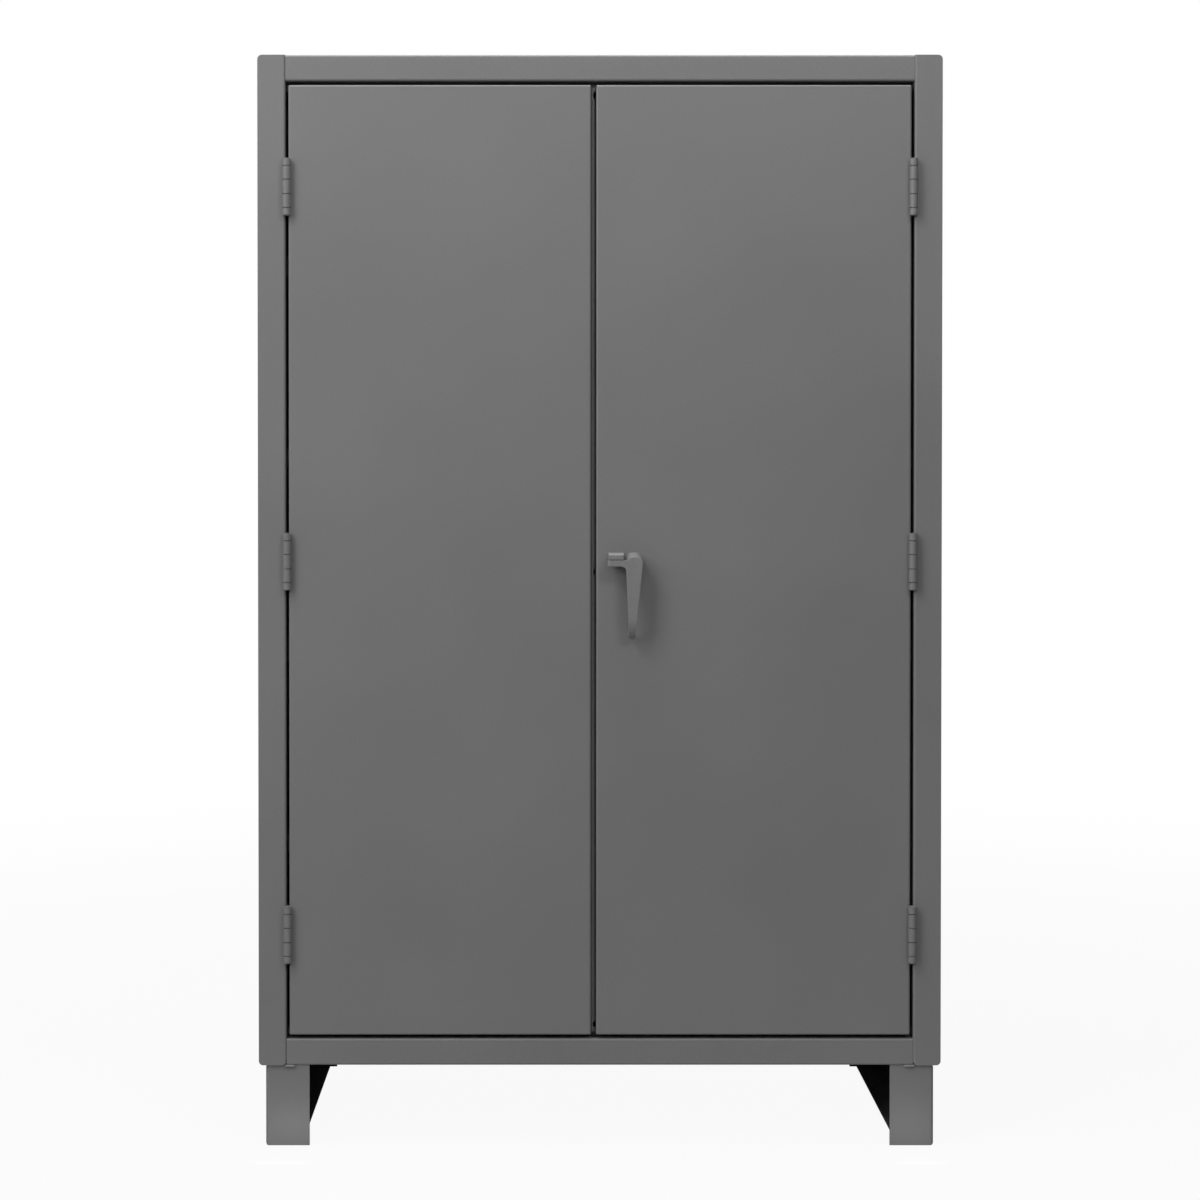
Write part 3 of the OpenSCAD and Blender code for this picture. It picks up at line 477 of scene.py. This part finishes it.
def softenEdges(piece, width, segments, angle):
    bevel = piece.modifiers.new("edges", "BEVEL")
    bevel.width = width
    bevel.segments = segments
    bevel.limit_method = "ANGLE"
    bevel.angle_limit = math.radians(angle)
    bevel.use_clamp_overlap = True
    applyAll(piece)
    bpy.ops.object.shade_smooth_by_angle(angle=math.radians(angle))
    weighted = piece.modifiers.new("normals", "WEIGHTED_NORMAL")
    weighted.keep_sharp = True
    weighted.weight = 100
    applyAll(piece)


def widthFor(table, nodeName, usual):
    return next((width for end, width in table.items() if nodeName.endswith(end)), usual)


def roundFront(piece, radius):
    # the bends around the front face have a larger radius than the cut edges, but the
    # outline at the body's top and bottom keeps its place
    activate(piece)
    bpy.ops.object.mode_set(mode="EDIT")
    bpy.ops.mesh.select_mode(type="EDGE")
    bpy.ops.mesh.select_all(action="DESELECT")
    bpy.ops.object.mode_set(mode="OBJECT")
    places = [vertex.co for vertex in piece.data.vertices]
    front = min(place.y for place in places)
    near = bendValues["tolerance"]
    for edge in piece.data.edges:
        ends = [places[v] for v in edge.vertices]
        outline = any(all(abs(end.z - z) < near for end in ends) for z in bodyEnds)
        edge.select = not outline and all(end.y < front + near for end in ends)
    bpy.ops.object.mode_set(mode="EDIT")
    bpy.ops.mesh.bevel(
        offset=radius,
        segments=bendValues["segments"],
        profile=bendValues["profile"],
        clamp_overlap=True,
        affect="EDGES",
    )
    bpy.ops.mesh.select_all(action="DESELECT")
    bpy.ops.object.mode_set(mode="OBJECT")


def shortenKnuckles(piece):
    # the joints of a hinge show as dark lines: every level face moves in by one step
    moves = {}
    for face in piece.data.polygons:
        if abs(face.normal.z) > knuckleValues["level"]:
            for v in face.vertices:
                moves[v] = -math.copysign(knuckleValues["step"], face.normal.z)
    for v, move in moves.items():
        piece.data.vertices[v].co.z += move


def makeSheetPiece(nodeName):
    piece = copyOf(nodeName, nodeName + "_finished")
    if nodeName.endswith("_leaf"):
        shortenKnuckles(piece)
    radius = widthFor(frontEdges, nodeName, 0)
    if radius:
        roundFront(piece, radius)
    width = widthFor(wideEdges, nodeName, edgeValues["width"])
    softenEdges(piece, width, edgeValues["segments"], edgeValues["angle"])
    finishPiece(piece, bodyOf[nodeName], slotOf[nodeName], [nodeName])


meltShare = 0.5
castValues = {
    "door_handle": {"voxel": 0.0005, "smoothing": 8},
    "padlock_lug": {"voxel": 0.0004, "smoothing": 6},
}


def makeCastPiece(nodeName):
    # castings have no sharp edge: the copy is remeshed finely and its edges melt a little
    values = castValues[nodeName]
    piece = copyOf(nodeName, nodeName + "_cast")
    remesh = piece.modifiers.new("skin", "REMESH")
    remesh.mode = "VOXEL"
    remesh.voxel_size = values["voxel"]
    melt = piece.modifiers.new("melt", "SMOOTH")
    melt.factor = meltShare
    melt.iterations = values["smoothing"]
    applyAll(piece)
    bpy.ops.object.shade_smooth()
    finishPiece(piece, bodyOf[nodeName], slotOf[nodeName], [nodeName])


for nodeName in sorted(nodes):
    if nodeName in castValues:
        makeCastPiece(nodeName)
    else:
        makeSheetPiece(nodeName)
print("packed pieces finished")


weldValues = {
    "ripple": 0.10,  # depth of the ripples, as a share of the bead
    "pitch": 0.0022,
    "sides": 12,
    "ringsPerRipple": 4,
    "fewestRings": 8,
    "tip": 0.02,  # square of the radius left at a round end, as a share of the full one
    "lengthwise": 0.9,  # an edge this long, as a share of the bead, runs from end to end
}


def makeBead(start, end, width):
    # a bead laid from start to end: a rod whose rings swell and shrink, with round ends
    start, end = Vector(start), Vector(end)
    length = (end - start).length
    ripples = round(length / weldValues["pitch"])
    rings = max(weldValues["fewestRings"], ripples * weldValues["ringsPerRipple"])
    turn = (end - start).to_track_quat("Z", "Y")
    bpy.ops.object.select_all(action="DESELECT")
    bpy.ops.mesh.primitive_cylinder_add(
        vertices=weldValues["sides"],
        radius=width / 2,
        depth=length,
        end_fill_type="TRIFAN",
        location=(start + end) / 2,
        rotation=turn.to_euler(),
    )
    bead = bpy.context.object
    bpy.ops.object.mode_set(mode="EDIT")
    bpy.ops.mesh.select_mode(type="EDGE")
    bpy.ops.mesh.select_all(action="DESELECT")
    bpy.ops.object.mode_set(mode="OBJECT")
    for edge in bead.data.edges:
        low, high = [bead.data.vertices[v].co for v in edge.vertices]
        edge.select = abs(low.z - high.z) > length * weldValues["lengthwise"]
    bpy.ops.object.mode_set(mode="EDIT")
    bpy.ops.mesh.subdivide(number_cuts=rings - 1)
    bpy.ops.object.mode_set(mode="OBJECT")
    for vertex in bead.data.vertices:
        place = vertex.co.z / length + 0.5  # from 0 to 1 along the bead
        ends = min(place, 1 - place) * length / (width / 2)
        swell = math.sqrt(max(weldValues["tip"], 1 - max(0, 1 - ends) ** 2))
        phase = 2 * math.pi * place * length / weldValues["pitch"]
        ripple = 1 + weldValues["ripple"] * math.cos(phase)
        vertex.co.x *= swell * ripple
        vertex.co.y *= swell * ripple
    bpy.ops.object.transform_apply(location=True, rotation=True, scale=True)
    bpy.ops.object.shade_smooth()
    return bead


def joinPieces(pieces, name):
    bpy.ops.object.select_all(action="DESELECT")
    for piece in pieces:
        piece.select_set(True)
    bpy.context.view_layer.objects.active = pieces[0]
    bpy.ops.object.join()
    joined = bpy.context.object
    joined.name = name
    joined.data.name = name
    bpy.ops.object.transform_apply(location=True, rotation=True, scale=True)
    return joined


legWeldValues = {
    "frontX": 0.559,  # middle of the short bead that shows from the front
    "frontLength": 0.020,
    "width": 0.0055,
    "proud": 0.0018,  # how far the front bead's middle stands out of the faces
    "sideLength": 0.045,
    "sidePlaces": (-0.235, -0.08, 0.08, 0.235),  # middles of the beads along the depth
}


def makeLegWelds():
    beads = []
    for side, legName in ((-1, "left_leg_base"), (1, "right_leg_base")):
        low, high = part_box(legName)
        top = high.z
        outer = low.x if side < 0 else high.x
        half = legWeldValues["frontLength"] / 2
        middle = side * legWeldValues["frontX"]
        width = legWeldValues["width"]
        proud = legWeldValues["proud"]
        z = top - proud
        for y in (low.y - proud, high.y + proud):
            beads.append(makeBead((middle - half, y, z), (middle + half, y, z), width))
        half = legWeldValues["sideLength"] / 2
        for y in legWeldValues["sidePlaces"]:
            beads.append(makeBead((outer, y - half, top), (outer, y + half, top), width))
    welds = joinPieces(beads, "leg_welds")
    finishPiece(welds, "cabinet", "grey_paint")


makeLegWelds()
print("welds ready")
